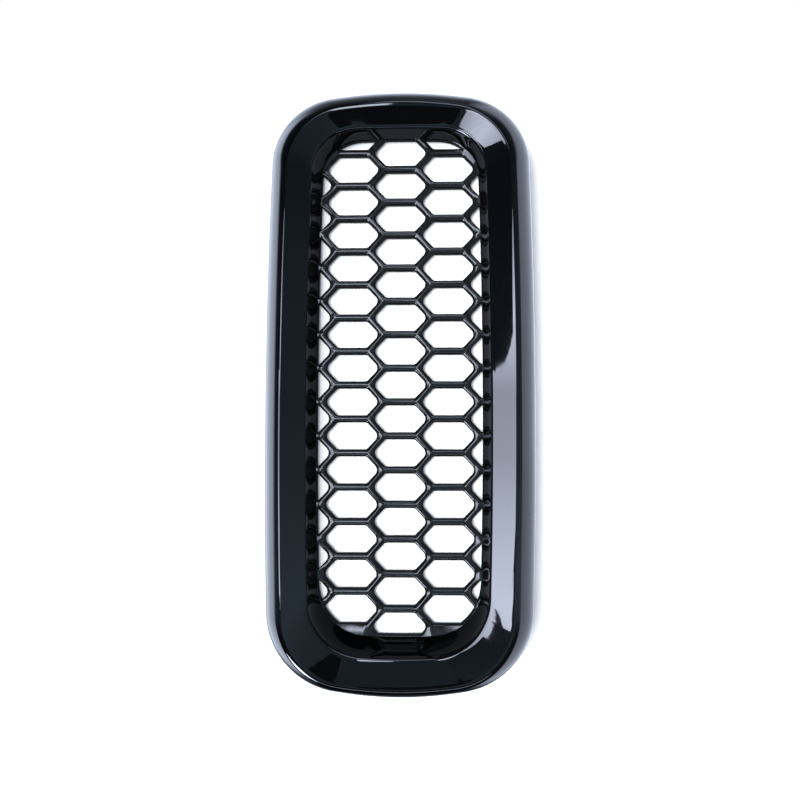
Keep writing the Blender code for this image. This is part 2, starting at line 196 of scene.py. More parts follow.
CLIP_SHARP_ANGLE = 50

TAPE_WIDTH = 2.0 * MM
TAPE_CORNER = 0.22 * MM
TAPE_SWELL = 0.05 * MM
TAPE_RIPPLE = 0.6  # ripples per millimetre, roughly
TAPE_SHRINK = 0.04 * MM
TAPE_END = 0.88  # its ends' share of its full section

SCREWS = [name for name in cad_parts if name.startswith("mesh_screw_")]
CLIPS = [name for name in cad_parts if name.startswith("spring_clip_")]
TAPES = [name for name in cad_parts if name.startswith("tape_")]


# ---- outlines ----


def grown(outline, by):
    """The outline moved outwards everywhere by the same distance."""
    return Outline(*(size + by for size in outline))


def mixed(first, second, share):
    """The outline that lies the given share of the way from the first to the second."""
    return Outline(*(a + (b - a) * share for a, b in zip(first, second)))


def arc(centre, radius, start, end, segments):
    """Points along an arc, without its last one."""
    angles = (start + (end - start) * i / segments for i in range(segments))
    return [centre + radius * Vector((math.cos(a), math.sin(a))) for a in angles]


def quadrant(half_width, height, corner, crown, segments):
    """A quarter of an outline, from the middle of the side to the middle of the end."""
    side_centre = Vector((half_width - SIDE_BOW_RADIUS, 0))
    crown_centre = Vector((0, height - crown))
    between = crown_centre - side_centre
    to_side = SIDE_BOW_RADIUS - corner
    to_crown = crown - corner
    along = (to_side**2 - to_crown**2 + between.length_squared) / (2 * between.length)
    aside = math.sqrt(to_side**2 - along**2)
    direction = between.normalized()
    across = Vector((direction.y, -direction.x))
    places = [side_centre + along * direction + sign * aside * across for sign in (1, -1)]
    corner_centre = max(places, key=lambda place: place.x + place.y)
    from_side = corner_centre - side_centre
    from_crown = corner_centre - crown_centre
    side_end = math.atan2(from_side.y, from_side.x)
    crown_start = math.atan2(from_crown.y, from_crown.x)
    return (
        arc(side_centre, SIDE_BOW_RADIUS, 0, side_end, segments[0])
        + arc(corner_centre, corner, side_end, crown_start, segments[1])
        + arc(crown_centre, crown, crown_start, math.pi / 2, segments[2])
        + [Vector((0, height))]
    )


def outline_points(outline, segments=FINE):
    """The closed outline as (x, z) points, counter-clockwise seen from the front, from (+x, 0)."""
    o = outline
    upper = quadrant(o.half_width, o.top, o.corner_top, o.crown_top, segments)
    lower = quadrant(o.half_width, o.bottom, o.corner_bottom, o.crown_bottom, segments)
    upper_left = [Vector((-p.x, p.y)) for p in reversed(upper[:-1])]
    lower_left = [Vector((-p.x, -p.y)) for p in lower[1:]]
    lower_right = [Vector((p.x, -p.y)) for p in reversed(lower[1:-1])]
    return upper + upper_left + lower_left + lower_right


# ---- mesh helpers ----


def smoothed(mesh):
    mesh.shade_smooth()
    mesh.set_sharp_from_angle(angle=math.radians(SMOOTH_ANGLE))


def added(name, data):
    """A new object in the scene."""
    thing = bpy.data.objects.new(name, data)
    bpy.context.scene.collection.objects.link(thing)
    return thing


def add_piece(name, form, *materials):
    """A smoothly shaded object from a form."""
    mesh = mesh_from(form, name)
    piece = added(name, mesh)
    for material in materials:
        mesh.materials.append(material)
    smoothed(mesh)
    return piece


def mesh_from(form, name):
    """The form's mesh with its faces turned outwards; the form is used up."""
    mesh = bpy.data.meshes.new(name)
    bmesh.ops.recalc_face_normals(form, faces=form.faces)
    form.to_mesh(mesh)
    form.free()
    return mesh


def skin(form, loops, closed=True, material_from=None):
    """Quads between closed loops of points; material_from gives each band's material index."""
    rings = [[form.verts.new(p) for p in loop] for loop in loops]
    pairs = list(zip(rings, rings[1:] + rings[:1])) if closed else list(zip(rings, rings[1:]))
    for band, (ring, following) in enumerate(pairs):
        for i, start in enumerate(ring):
            j = (i + 1) % len(ring)
            face = form.faces.new((start, ring[j], following[j], following[i]))
            if material_from:
                face.material_index = material_from[band]
    return rings


def capped(form, loops):
    """A solid from loops of points, closed by a face on the first and the last."""
    rings = skin(form, loops, closed=False)
    form.faces.new(rings[0])
    form.faces.new(rings[-1])


# ---- trim ring ----


def placed(points, y):
    """Points (x, z) of the XZ plane, moved to depth y."""
    return [Vector((p.x, y, p.y)) for p in points]


def at_depth(outline, y):
    return placed(outline_points(outline), y)


def lofted(first, second, steps):
    """Straight stations from one loop towards another, without the last."""
    return [[a.lerp(b, i / steps) for a, b in zip(first, second)] for i in range(steps)]


def turned_over(first, first_before, second, second_after, steps, fullness):
    """Loops that leave the first smoothly and arrive at the second smoothly, with neither end."""
    loops = []
    for i in range(1, steps):
        t = i / steps
        # the four weights of a Hermite curve
        h1, h2 = 2 * t**3 - 3 * t**2 + 1, t**3 - 2 * t**2 + t
        h3, h4 = -2 * t**3 + 3 * t**2, t**3 - t**2
        loop = []
        for a, before, b, after in zip(first, first_before, second, second_after):
            reach = (b - a).length * fullness
            leave = (a - before).normalized() * reach
            arrive = (after - b).normalized() * reach
            loop.append(a * h1 + leave * h2 + b * h3 + arrive * h4)
        loops.append(loop)
    return loops


def ring_loops():
    """The ring's section once round, as its painted loops and its rear loops."""
    skirt = [
        at_depth(mixed(RIM, EDGE, (i / SKIRT_STEPS) ** SKIRT_CURVE), -SKIRT_DEPTH * i / SKIRT_STEPS)
        for i in range(SKIRT_STEPS + 1)
    ]
    rim_corner = at_depth(grown(RIM, -RIM_ROUND), 0)
    skirt[0] = at_depth(RIM, -RIM_ROUND)
    face_start = at_depth(grown(EDGE, -2 * EDGE_ROUND), FACE_OUTER_Y)
    face_end = at_depth(grown(LIP, LIP_CHAMFER), LIP_Y - LIP_CHAMFER)
    face = lofted(face_start, face_end, FACE_STEPS) + [face_end]
    wall = [
        at_depth(mixed(LIP, SEAT, (i / WALL_STEPS) ** WALL_CURVE), LIP_Y + (SEAT_Y - LIP_Y) * i / WALL_STEPS)
        for i in range(WALL_STEPS + 1)
    ]
    edge = turned_over(skirt[-1], skirt[-2], face[0], face[1], EDGE_STEPS, ROUNDING)
    lip = turned_over(face[-1], face[-2], wall[0], wall[1], LIP_STEPS, ROUNDING)
    painted = [rim_corner, *skirt, *edge, *face, *lip, *wall]
    rear = [
        at_depth(grown(SEAT, RING_WALL), SEAT_Y),
        at_depth(grown(LIP, LIP_BACKING), LIP_Y + LIP_BACKING),
        at_depth(grown(EDGE, -RING_WALL), FACE_OUTER_Y + EDGE_BACKING),
        at_depth(grown(RIM, -RIM_WIDTH - RIM_DRAFT), -SKIRT_DEPTH / 2),
        at_depth(grown(RIM, -RIM_WIDTH), 0),
    ]
    return painted, rear


def make_ring(lacquer, bare):
    painted, rear = ring_loops()
    form = bmesh.new()
    bands = [0] * (len(painted) - 1) + [1] * (len(rear) + 1)
    skin(form, painted + rear, material_from=bands)
    ring = add_piece("ring_moulding", form, lacquer, bare)
    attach(ring, BODY)
    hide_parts("trim_ring")


# ---- honeycomb mesh ----


def rounded(corners, radii, segments):
    """A convex polygon with each corner replaced by an arc of its own radius."""
    points = []
    for i, corner in enumerate(corners):
        into = (corners[i - 1] - corner).normalized()
        out = (corners[(i + 1) % len(corners)] - corner).normalized()
        half_angle = into.angle(out) / 2
        centre = corner + (into + out).normalized() * radii[i] / math.sin(half_angle)
        start = corner + into * radii[i] / math.tan(half_angle) - centre
        end = corner + out * radii[i] / math.tan(half_angle) - centre
        turn = start.angle_signed(end)
        for k in range(segments + 1):
            angle = -turn * k / segments
            cos, sin = math.cos(angle), math.sin(angle)
            points.append(centre + Vector((start.x * cos - start.y * sin, start.x * sin + start.y * cos)))
    return points


def cell_outline():
    """One cell round the origin: flat top and bottom, rounded points to the left and right."""
    tip, flat, height = CELL_HALF_TIP, CELL_HALF_FLAT, CELL_HALF_HEIGHT
    corners = [(tip, 0), (flat, height), (-flat, height), (-tip, 0), (-flat, -height), (flat, -height)]
    radii = [CELL_TIP_RADIUS, CELL_CORNER_RADIUS, CELL_CORNER_RADIUS] * 2
    return rounded([Vector(c) for c in corners], radii, CELL_CORNER_STEPS)


def clipped(points, border):
    """The part of a convex polygon inside a convex, counter-clockwise border."""
    for start, end in zip(border, border[1:] + border[:1]):
        edge = end - start
        kept = []
        sides = [edge.cross(p - start) for p in points]
        for i, point in enumerate(points):
            before, here = sides[i - 1], sides[i]
            if (before > 0) != (here > 0):
                kept.append(points[i - 1].lerp(point, before / (before - here)))
            if here > 0:
                kept.append(point)
        points = kept
        if not points:
            break
    return points


def without_near_points(points):
    return [p for i, p in enumerate(points) if (p - points[i - 1]).length > NEAR_POINTS]


def area(points):
    return sum(a.cross(b) for a, b in zip(points, points[1:] + points[:1])) / 2


def cell_centres():
    """Every lattice place that can reach the window: odd columns sit half a row lower."""
    columns = math.ceil(WINDOW.half_width / COLUMN_PITCH)
    rows = math.ceil((WINDOW.top + WINDOW.bottom) / ROW_PITCH)
    for column in range(-columns, columns + 1):
        for row in range(-1, rows + 1):
            lowered = row + (column % 2) / 2
            yield Vector((column * COLUMN_PITCH, TOP_ROW_Z - lowered * ROW_PITCH))


def mesh_cells():
    border = outline_points(WINDOW, COARSE)
    cells = []
    for centre in cell_centres():
        cell = without_near_points(clipped([p + centre for p in cell_outline()], border))
        if len(cell) > 2 and area(cell) > SMALLEST_CELL_AREA:
            cells.append(cell)
    return cells


def spread(points, by):
    """A convex outline with every side moved outwards by the same distance, point for point."""
    moved = []
    for i, point in enumerate(points):
        into = (point - points[i - 1]).normalized()
        out = (points[(i + 1) % len(points)] - point).normalized()
        first, second = Vector((into.y, -into.x)), Vector((out.y, -out.x))
        middle = (first + second).normalized()
        moved.append(point + middle * by / max(middle.dot(first), MITRE_LIMIT))
    return moved


def screw_place(name):
    low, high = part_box(name)
    centre = (low + high) / 2
    return Vector((centre.x, centre.z))


def with_ears(border):
    """The flange's outline with a round-ended tab where each screw goes through it."""
    ears = []
    for name in SCREWS:
        place = screw_place(name)
        outward = Vector((math.copysign(1, place.x), 0))
        if "_top_" in name or "_bottom_" in name:
            outward = Vector((0, math.copysign(1, place.y)))
        ears.append((place, outward, Vector((-outward.y, outward.x))))
    points = []
    done = set()
    for point in border:
        for index, (place, outward, across) in enumerate(ears):
            offset = point - place
            if abs(offset.dot(across)) < EAR_RADIUS and abs(offset.dot(outward)) < 3 * EAR_RADIUS:
                if index not in done:
                    done.add(index)
                    neck = point.dot(outward) * outward + place.dot(across) * across
                    start = math.atan2(-across.y, -across.x)
                    points.append(neck - across * EAR_RADIUS)
                    points += arc(place, EAR_RADIUS, start, start + math.pi, EAR_STEPS)
                    points += [place + across * EAR_RADIUS, neck + across * EAR_RADIUS]
                break
        else:
            points.append(point)
    return points


def filled(form, splines, y):
    """A flat face with holes, from outlines in the XZ plane, added to the form at depth y."""
    curve = bpy.data.curves.new("outlines", "CURVE")
    curve.dimensions = "2D"
    curve.fill_mode = "BOTH"
    for points in splines:
        spline = curve.splines.new("POLY")
        spline.points.add(len(points) - 1)
        for target, point in zip(spline.points, points):
            target.co = (point.x, point.y, 0, 1)
        spline.use_cyclic_u = True
    holder = bpy.data.objects.new("outlines", curve)
    mesh = bpy.data.meshes.new_from_object(holder)
    sheet = bmesh.new()
    sheet.from_mesh(mesh)
    made = {vert: form.verts.new((vert.co.x, y, vert.co.y)) for vert in sheet.verts}
    for face in sheet.faces:
        form.faces.new([made[vert] for vert in face.verts])
    sheet.free()
    bpy.data.objects.remove(holder)
    bpy.data.meshes.remove(mesh)


def inside(point, outline):
    """Whether a point is inside a closed outline, by counting the sides a level ray crosses."""
    crossed = False
    for first, second in zip(outline, outline[1:] + outline[:1]):
        if (first.y > point.y) != (second.y > point.y):
            at = first.x + (point.y - first.y) / (second.y - first.y) * (second.x - first.x)
            if at > point.x:
                crossed = not crossed
    return crossed


def rib_lines():
    """The ribs' centre lines, as pairs of points inside the window."""
    border = outline_points(grown(WINDOW, -RIB_RADIUS), COARSE)
    across, up = JUNCTION_REACH, ROW_PITCH / 2
    lines = []
    for centre in cell_centres():
        left, right = centre + Vector((-across, up)), centre + Vector((across, up))
        tip = centre + Vector((COLUMN_PITCH - across, 0))
        low = centre + Vector((across, -up))
        lines += [(left, right), (right, tip), (low, tip)]
    return [line for line in lines if all(inside(point, border) for point in line)]


def crowned(form, cells, flange, bores, y, drop):
    """The ribs' front: high along their centre lines, lower by drop where the cells' shoulders start."""
    points = []
    sides = []
    for outline in (*cells, flange, *bores):
        first = len(points)
        points += outline
        sides += [(first + i, first + (i + 1) % len(outline)) for i in range(len(outline))]
    for line in rib_lines():
        sides.append((len(points), len(points) + 1))
        points += line
    found = delaunay_2d_cdt(points, sides, [], 0, 1e-7)
    places, triangles, sources = found[0], found[2], found[3]
    shoulder = sum(len(outline) for outline in cells)
    made = []
    for place, source in zip(places, sources):
        depth = drop if any(index < shoulder for index in source) else 0
        made.append(form.verts.new((place.x, y + depth, place.y)))
    boxes = []
    for outline in (*cells, *bores):
        across, upwards = [p.x for p in outline], [p.y for p in outline]
        boxes.append((min(across), max(across), min(upwards), max(upwards), outline))
    for corners in triangles:
        middle = sum((places[index] for index in corners), Vector((0, 0))) / 3
        holes = [box[4] for box in boxes if box[0] < middle.x < box[1] and box[2] < middle.y < box[3]]
        if inside(middle, flange) and not any(inside(middle, hole) for hole in holes):
            form.faces.new([made[index] for index in reversed(corners)])


def make_honeycomb(plastic):
    """Round-fronted ribs, straight cell walls, a small rear chamfer, and a flat flange with ears."""
    cells = mesh_cells()
    crown = math.radians(RIB_CROWN_ANGLE)
    crest_rows = [spread(cell, RIB_RADIUS * (1 - math.sin(crown))) for cell in cells]
    rear_rows = [spread(cell, REAR_CHAMFER) for cell in cells]
    flange = with_ears(outline_points(grown(WINDOW, MESH_FLANGE), FLANGE_SEGMENTS))
    bores = [arc(screw_place(name), BORE_RADIUS, 0, 2 * math.pi, BORE_SIDES) for name in SCREWS]
    form = bmesh.new()
    crowned(form, crest_rows, flange, bores, MESH_FRONT_Y, RIB_RADIUS * (1 - math.cos(crown)))
    filled(form, [flange, *rear_rows, *bores], MESH_REAR_Y)
    for cell, rear in zip(cells, rear_rows):
        walls = []
        for step in range(RIB_SHOULDER_STEPS):
            turn = crown + (math.pi / 2 - crown) * step / RIB_SHOULDER_STEPS
            inset = RIB_RADIUS * (1 - math.sin(turn))
            walls.append((spread(cell, inset), MESH_FRONT_Y + RIB_RADIUS * (1 - math.cos(turn))))
        walls += [(cell, MESH_FRONT_Y + RIB_RADIUS), (cell, MESH_REAR_Y - REAR_CHAMFER), (rear, MESH_REAR_Y)]
        skin(form, [placed(loop, y) for loop, y in walls], closed=False)
    for loop in (flange, *bores):
        skin(form, [placed(loop, y) for y in (MESH_FRONT_Y, MESH_REAR_Y)], closed=False)
    bmesh.ops.remove_doubles(form, verts=form.verts, dist=WELD)
    piece = add_piece("honeycomb_moulding", form, plastic)
    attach(piece, BODY)
    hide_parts("honeycomb_mesh")


# ---- bosses and blades on the ring's back ----


def part_of_ring(name, form, material):
    """A piece of the ring's own moulding, on its back."""
    piece = add_piece(name, form, material)
    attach(piece, BODY)
    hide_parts("trim_ring")
    return piece


def turned(form, profile, centre, sides):
    """A closed turned shape about an axis along Y through centre, from (radius, y) points."""
    circles = [(arc(centre, radius, 0, 2 * math.pi, sides), y) for radius, y in profile]
    capped(form, [placed(circle, y) for circle, y in circles])


def extruded(form, outline, normal, thickness):
    """A plate: the outline's points, pushed half the thickness to both sides along the normal."""
    capped(form, [[p + normal * thickness * half for p in outline] for half in (-0.5, 0.5)])


def make_boss(name, place, material):
    """A screw boss: a drafted tube with a lead-in, on four gussets."""
    profile = [
        (BOSS_RADIUS + BOSS_FLARE, BOSS_FRONT_Y),
        (BOSS_RADIUS, BOSS_FRONT_Y + BOSS_FOOT),
        (BOSS_RADIUS, BOSS_REAR_Y - BOSS_ROUND),
        (BOSS_RADIUS - BOSS_ROUND * 0.3, BOSS_REAR_Y - BOSS_ROUND * 0.3),
        (BOSS_RADIUS - BOSS_ROUND, BOSS_REAR_Y),
        (BORE_RADIUS + BOSS_LEAD_IN, BOSS_REAR_Y),
        (BORE_RADIUS, BOSS_REAR_Y - BOSS_LEAD_IN),
        (BORE_RADIUS, BORE_DEPTH_Y),
    ]
    form = bmesh.new()
    turned(form, profile, place, BOSS_SIDES)
    for quarter in range(4):
        angle = math.pi / 4 + quarter * math.pi / 2
        out = Vector((math.cos(angle), 0, math.sin(angle)))
        base = Vector((place.x, 0, place.y)) + out * (BOSS_RADIUS - GUSSET_OVERLAP)
        outline = [base + out * reach + Vector((0, y, 0)) for reach, y in GUSSET]
        extruded(form, outline, Vector((-out.z, 0, out.x)), GUSSET_THICKNESS)
    part_of_ring(name, form, material)


def make_blade(name, clip, material):
    """The rib that a spring clip grips: chamfered at its tip, with a gusset at each end of its root."""
    centre, outward = clip_frame(clip)
    across = Vector((outward.z, 0, -outward.x))
    half = BLADE_THICKNESS / 2
    tip_y, half_tip = BLADE_REAR_Y - BLADE_TIP[0], half - BLADE_TIP[1]
    foot_y, half_foot = BOSS_FRONT_Y + BLADE_FOOT[0], half + BLADE_FOOT[1]
    section = [
        (-half_foot, BOSS_FRONT_Y), (half_foot, BOSS_FRONT_Y), (half, foot_y), (half, tip_y),
        (half_tip, BLADE_REAR_Y), (-half_tip, BLADE_REAR_Y), (-half, tip_y), (-half, foot_y),
    ]
    form = bmesh.new()
    outline = [Vector((centre.x, y, centre.z)) + outward * reach for reach, y in section]
    extruded(form, outline, across, BLADE_WIDTH)
    for end in (-1, 1):
        base = Vector((centre.x, 0, centre.z)) + across * end * (BLADE_WIDTH / 2 - GUSSET_THICKNESS / 2)
        for side in (-1, 1):
            root = half - GUSSET_OVERLAP
            wedge = [(root, BOSS_FRONT_Y), *BLADE_GUSSET, (root, BLADE_GUSSET_REAR_Y)]
            outline = [base + outward * side * reach + Vector((0, y, 0)) for reach, y in wedge]
            extruded(form, outline, across, GUSSET_THICKNESS)
    part_of_ring(name, form, material)


# ---- screws ----


def recess_cutter(head_y):
    """A tapered cross, for the driver, as one closed mesh about the Y axis."""
    form = bmesh.new()
    for turn in (0, math.pi / 2):
        along = Vector((math.cos(turn), 0, math.sin(turn)))
        across = Vector((-along.z, 0, along.x))
        ends = []
        for y, (reach, half) in (
            (head_y + RECESS_CLEARANCE, RECESS_TOP),
            (head_y - RECESS_DEPTH, RECESS_FLOOR),
        ):
            corners = [(reach, half), (-reach, half), (-reach, -half), (reach, -half)]
            ends.append([along * a + across * b + Vector((0, y, 0)) for a, b in corners])
        capped(form, ends)
    return mesh_from(form, "recess_cutter")


def screw_radius(y, angle, head_y, tip_y):
    """The shank's radius: a thread winding down to a point."""
    seat_y = head_y - HEAD_HEIGHT
    depth = seat_y - y
    length = seat_y - tip_y
    phase = (depth / THREAD_PITCH + angle / (2 * math.pi)) % 1
    ridge = max(0, 1 - abs(phase - 0.5) * THREAD_SHARPNESS)
    threaded = min(1, max(0, (depth - THREAD_START) / THREAD_FADE))
    radius = SHANK_RADIUS - THREAD_DEPTH * threaded * (1 - ridge)
    point = min(1, (length - depth) / (length * POINT_SHARE))
    return max(radius * point, SMALLEST_RADIUS)


def make_screw(name, material):
    """A pan head screw with a cross recess and a cut thread."""
    low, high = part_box(name)
    head_y, tip_y = high.y, low.y
    seat_y = head_y - HEAD_HEIGHT
    angles = [2 * math.pi * i / SCREW_SIDES for i in range(SCREW_SIDES)]
    loops = [[(radius * MM, head_y - down * MM, angle) for angle in angles] for radius, down in HEAD_PROFILE]
    for k in range(SHANK_STEPS + 1):
        y = seat_y + (tip_y - seat_y) * k / SHANK_STEPS
        loops.append([(screw_radius(y, angle, head_y, tip_y), y, angle) for angle in angles])
    form = bmesh.new()
    capped(form, [[Vector((r * math.cos(a), y, r * math.sin(a))) for r, y, a in loop] for loop in loops])
    screw = add_piece(name + "_detail", form, material)
    cutter = added("recess_cutter", recess_cutter(head_y))
    modified(screw, "BOOLEAN", operation="DIFFERENCE", solver="EXACT", use_self=True, object=cutter)
    settle(screw)
    bpy.data.objects.remove(cutter)
    place = screw_place(name)
    moved = Matrix.Translation((place.x, 0, place.y))
    screw.data.transform(moved @ Matrix.Rotation(place.y * SCREW_TURN, 4, "Y"))
    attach(screw, BODY)
    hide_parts(name)


def modified(piece, kind, **settings):
    """Puts a modifier on a piece."""
    modifier = piece.modifiers.new(kind, kind)
    for name, value in settings.items():
        setattr(modifier, name, value)


def settle(piece):
    """Applies a piece's modifiers to its mesh."""
    depsgraph = bpy.context.evaluated_depsgraph_get()
    mesh = bpy.data.meshes.new_from_object(piece.evaluated_get(depsgraph))
    piece.modifiers.clear()
    piece.data = mesh
    smoothed(mesh)


# ---- spring clips ----


def clip_frame(name):
    """The clip's fold centre and its outward direction, from its packed box."""
    low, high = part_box(name)
    middle = (low + high) / 2
    if high.x - low.x > high.z - low.z:
        outward = Vector((0, 0, math.copysign(1, middle.z)))
        rim = RIM.top if middle.z > 0 else RIM.bottom
        return Vector((0, CLIP_PIVOT_Y, outward.z * (rim - CLIP_INSET))), outward
    outward = Vector((math.copysign(1, middle.x), 0, 0))
    return Vector((outward.x * (RIM.half_width - CLIP_INSET), CLIP_PIVOT_Y, middle.z)), outward


def rounded_run(corners, radius, segments):
    """An open run of points with each inner corner rounded."""
    points = [corners[0]]
    for before, corner, after in zip(corners, corners[1:], corners[2:]):
        into = (before - corner).normalized()
        out = (after - corner).normalized()
        for k in range(segments + 1):
            t = k / segments
            start, end = corner + into * radius, corner + out * radius
            points.append(start.lerp(corner, t).lerp(corner.lerp(end, t), t))
    return points + [corners[-1]]


def divided(run, pieces_for):
    """Points closer together along an open run, without its last one."""
    points = []
    for start, end in zip(run, run[1:]):
        pieces = pieces_for((end - start).length)
        points += [start.lerp(end, i / pieces) for i in range(pieces)]
    return points


def clip_run():
    """The middle of the bent strip as (outward, y) from the fold's centre, toe to inner leg."""
    fold = arc(Vector((0, 0)), FOLD_RADIUS, 0, math.pi, CLIP_FOLD_STEPS)
    outer = rounded_run([CLIP_TOE, CLIP_PEAK, Vector((FOLD_RADIUS, 0))], CLIP_BEND_RADIUS, CLIP_BEND_STEPS)
    rise = divided(outer, lambda length: max(1, round(length / CLIP_STEP)))
    leg = [Vector((-FOLD_RADIUS, -CLIP_INNER_LEG * i / CLIP_LEG_STEPS)) for i in range(CLIP_LEG_STEPS + 1)]
    return rise + fold + leg


def make_clip(name, body, material):
    """A folded strip with round-cornered ends and a slot that lets its outer leg give."""
    centre, outward = clip_frame(name)
    across = outward.cross(Vector((0, 1, 0)))
    run = clip_run()
    marks = list(accumulate(((b - a).length for a, b in zip(run, run[1:])), initial=0))
    form = bmesh.new()
    rows = []
    for point, mark in zip(run, marks):
        from_end = min(mark, marks[-1] - mark)
        narrow = max(0, 1 - from_end / CLIP_END_LENGTH)
        half_width = CLIP_WIDTH / 2 * (1 - CLIP_END_TAPER * narrow**2)
        here = centre + outward * point.x + Vector((0, point.y, 0))
        rows.append([form.verts.new(here + across * half_width * station) for station in CLIP_STATIONS])
    for k, (row, following) in enumerate(zip(rows, rows[1:])):
        middle = (marks[k] + marks[k + 1]) / 2
        slotted = CLIP_SLOT[0] < middle < CLIP_SLOT[1]
        for i in range(len(CLIP_STATIONS) - 1):
            if slotted and CLIP_SLOT_BANDS[0] <= i <= CLIP_SLOT_BANDS[1]:
                continue
            form.faces.new((row[i], row[i + 1], following[i + 1], following[i]))
    loose = [vert for vert in form.verts if not vert.link_faces]
    bmesh.ops.delete(form, geom=loose, context="VERTS")
    clip = add_piece(name + "_detail", form, material)
    sharp = math.radians(CLIP_SHARP_ANGLE)
    modified(clip, "SOLIDIFY", thickness=CLIP_STEEL, offset=0, use_even_offset=True)
    modified(clip, "BEVEL", width=CLIP_EDGE, segments=2, limit_method="ANGLE", angle_limit=sharp)
    settle(clip)
    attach(clip, body)
    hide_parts(name)


# ---- foam tape ----


def kept_run(points, keep):
    """The one unbroken run of a closed outline's points that the test keeps."""
    outside = next(i for i, p in enumerate(points) if not keep(p))
    return [p for p in points[outside:] + points[:outside] if keep(p)]


def tape_section(half_width, half_thickness, corner, uneven):
    """A rounded rectangle as (across, depth), swollen a little."""
    points = []
    for quarter, (side, face) in enumerate(((1, 1), (-1, 1), (-1, -1), (1, -1))):
        centre = Vector((side * (half_width - corner), face * (half_thickness - corner)))
        points += arc(centre, corner + uneven, quarter * math.pi / 2, (quarter + 1) * math.pi / 2, 4)
        points.append(centre + Vector(((0, 1), (-1, 0), (0, -1), (1, 0))[quarter]) * (corner + uneven))
    return points


def make_tape(name, material):
    """A soft strip along the rear rim, its edges rounded and its sides slightly uneven."""
    low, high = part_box(name)
    line = outline_points(grown(RIM, -RIM_WIDTH / 2))
    line = kept_run(line, lambda p: low.x < p.x < high.x and low.z < p.y < high.z)
    path = [*divided(line, lambda length: math.ceil(length / MM)), line[-1]]
    half_width, half_thickness = TAPE_WIDTH / 2, (high.y - low.y) / 2
    middle_y = (high.y + low.y) / 2
    rings = []
    for i, point in enumerate(path):
        along = (path[min(i + 1, len(path) - 1)] - path[max(i - 1, 0)]).normalized()
        across = Vector((along.y, -along.x))
        uneven = TAPE_SWELL * noise.noise(Vector((point.x, 0, point.y)) / MM * TAPE_RIPPLE) - TAPE_SHRINK
        share = TAPE_END if i in (0, len(path) - 1) else 1
        ring = []
        for reach, depth in tape_section(half_width * share, half_thickness * share, TAPE_CORNER, uneven):
            here = point + across * reach
            ring.append(Vector((here.x, middle_y + depth, here.y)))
        rings.append(ring)
    form = bmesh.new()
    capped(form, rings)
    bmesh.ops.remove_doubles(form, verts=form.verts, dist=WELD)
    tape = add_piece(name + "_foam", form, material)
    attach(tape, BODY)
    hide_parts(name)


# ---- shader nodes ----


def wired(tree, kind, inputs=(), **settings):
    """A new shader node's outputs; each of its inputs is given a plain value or another node's output."""
    node = tree.nodes.new("ShaderNode" + kind)
    for name, value in settings.items():
        setattr(node, name, value)
    for name, value in dict(inputs).items():
        if isinstance(value, bpy.types.NodeSocket):
            tree.links.new(value, node.inputs[name])
        else:
            node.inputs[name].default_value = value
    return node.outputs


def remapped(tree, source, at_low, at_high, low=0.0, high=1.0):
    """The source's value, from at_low to at_high, mapped on to low to high."""
    inputs = {"Value": source, "From Min": at_low, "From Max": at_high, "To Min": low, "To Max": high}
    return wired(tree, "MapRange", inputs)["Result"]


def ramp(tree, source, stops):
    """A colour ramp with a grey value or a colour at each (position, value) stop."""
    node = tree.nodes.new("ShaderNodeValToRGB")
    elements = node.color_ramp.elements
    while len(elements) < len(stops):
        elements.new(0.5)
    for element, (position, value) in zip(elements, stops):
        element.position = position
        element.color = (*value, 1) if isinstance(value, tuple) else (value, value, value, 1)
    tree.links.new(source, node.inputs["Fac"])
    return node.outputs["Color"]


def combined(tree, first, second, mode="MIX", share=1):
    """Two colours mixed by a share, or put together in full; the second may be a plain colour."""
    inputs = {"Factor": share, "A": first, "B": second}
    return wired(tree, "Mix", inputs, data_type="RGBA", blend_type=mode)["Result"]


# ---- materials ----


class Surface:
    """A Principled material whose inputs are driven by procedural textures in object space."""

    def __init__(self, name, metallic=0.0):
        self.material = bpy.data.materials.new(name)
        self.material.use_nodes = True
        self.tree = self.material.node_tree
        self.shader = self.tree.nodes["Principled BSDF"]
        self.set("Metallic", metallic)
        self.place = wired(self.tree, "TexCoord")["Object"]
        self.normal = None

    def set(self, name, value):
        self.shader.inputs[name].default_value = value

    def drive(self, name, source):
        self.tree.links.new(source, self.shader.inputs[name])

    def stretched(self, scale):
        """Object coordinates scaled differently along each axis."""
        return wired(self.tree, "Mapping", {"Vector": self.place, "Scale": scale})["Vector"]

    def noise(self, scale, detail=3.0, place=None):
        inputs = {"Vector": place or self.place, "Scale": scale, "Detail": detail}
        return wired(self.tree, "TexNoise", inputs)["Fac"]

    def cells(self, scale):
        return wired(self.tree, "TexVoronoi", {"Vector": self.place, "Scale": scale})["Distance"]

    def ranged(self, source, low, high, at_low=0.35, at_high=0.65):
        return remapped(self.tree, source, at_low, at_high, low, high)

    def colour(self, source, dark, light, at_dark=0.35, at_light=0.65):
        return ramp(self.tree, source, [(at_dark, dark), (at_light, light)])

    def tones(self, source, *colours):
        self.drive("Base Color", self.colour(source, *colours))

    def bump(self, source, height, strength=1.0):
        """Adds a bump of the given height in metres on top of those already there."""
        inputs = {"Height": source, "Distance": height, "Strength": strength}
        if self.normal:
            inputs["Normal"] = self.normal
        self.normal = wired(self.tree, "Bump", inputs)["Normal"]
        self.drive("Normal", self.normal)


